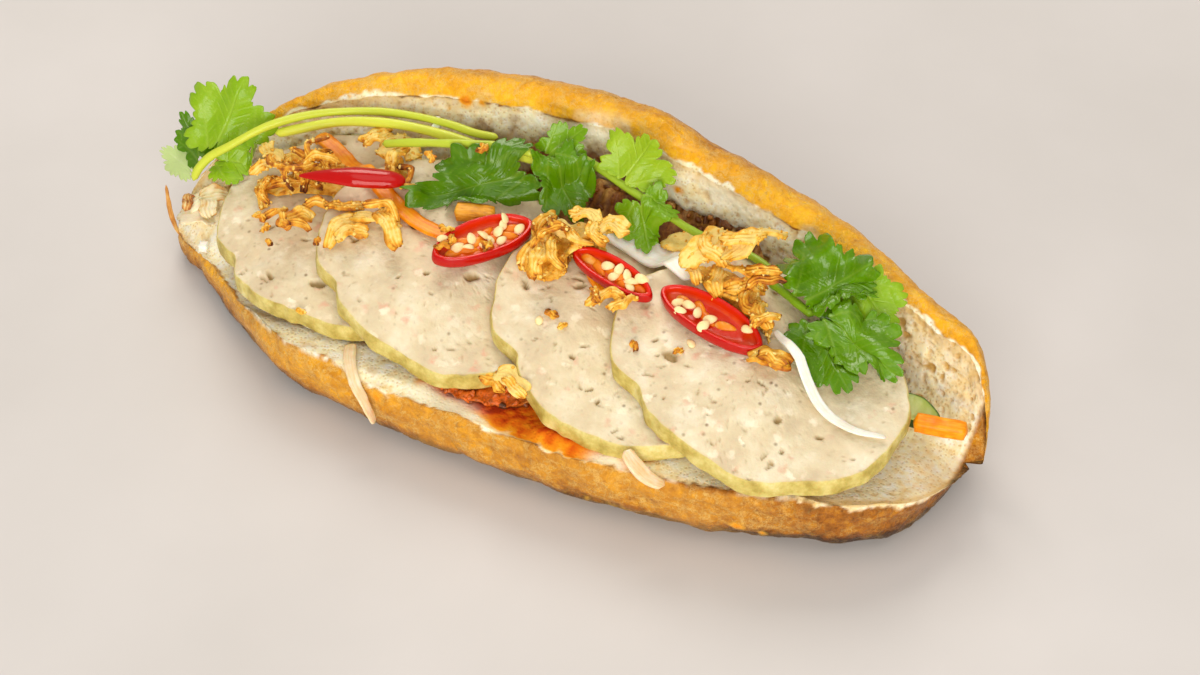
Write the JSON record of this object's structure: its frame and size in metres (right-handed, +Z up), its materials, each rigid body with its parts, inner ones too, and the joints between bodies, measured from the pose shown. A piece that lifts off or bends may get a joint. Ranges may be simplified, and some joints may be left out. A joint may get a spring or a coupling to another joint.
{
  "type": "banh mi sandwich",
  "caption": "Crusty long roll opened along one side, filled with minced meat and shingled slices of pork roll, topped with coriander, chilli, pickles and fried onions.",
  "frame": {"origin": "on the flat underside of the roll, below the middle of its length", "axes": "+X along the roll towards its blunt end, +Y towards the closed back of the roll, the opening faces -Y and up, +Z up"},
  "size_m": [0.2523, 0.1136, 0.0635],
  "materials": {
    "crusty_bread": "baked crust, golden to brown, pale open crumb on the cut faces",
    "minced_meat": "dark, moist, crumbly",
    "cucumber": "wet pale flesh with a dark green skin",
    "pork_roll": "matt pale pink-beige paste with small pores and an olive-yellow rim",
    "pickled_carrot": "moist orange",
    "pickled_radish": "moist, translucent white",
    "pickled_shreds": "moist, pale peach, translucent",
    "coriander": "fresh green leaf, satin",
    "chilli": "glossy red skin, orange pith, cream seeds",
    "fried_onion": "crisp, golden brown",
    "toasted_flakes": "crisp, pale with browned edges"
  },
  "bodies": {
    "root": {"bread": "crusty_bread", "meat_filling": "minced_meat", "cucumber_slice": "cucumber", "ham_slice_1": "pork_roll", "ham_slice_2": "pork_roll", "ham_slice_3": "pork_roll", "ham_slice_4": "pork_roll", "carrot_strip_1": "pickled_carrot", "carrot_strip_2": "pickled_carrot", "carrot_strip_3": "pickled_carrot", "carrot_strip_4": "pickled_carrot", "radish_strip_1": "pickled_radish", "radish_strip_3": "pickled_radish", "fried_shallot_front": "fried_onion", "shred_front_right": "pickled_shreds", "shred_front_left": "pickled_shreds", "toasted_flakes": "toasted_flakes", "fried_onions_left": "fried_onion", "fried_onion_bits_left": "fried_onion", "fried_onion_flakes_left": "fried_onion", "fried_onion_bits_back": "fried_onion", "coriander_back": "coriander", "coriander_centre": "coriander", "coriander_left": "coriander", "chilli_1": "chilli", "chilli_2": "chilli", "chilli_3": "chilli", "chilli_4": "chilli", "fried_onion_arch": "fried_onion", "fried_onions_centre": "fried_onion", "fried_onion_flake_centre": "fried_onion", "fried_onion_flake_right": "fried_onion", "coriander_right": "coriander", "radish_strip_2": "pickled_radish", "fried_onions_right": "fried_onion"}
  },
  "joints": []
}
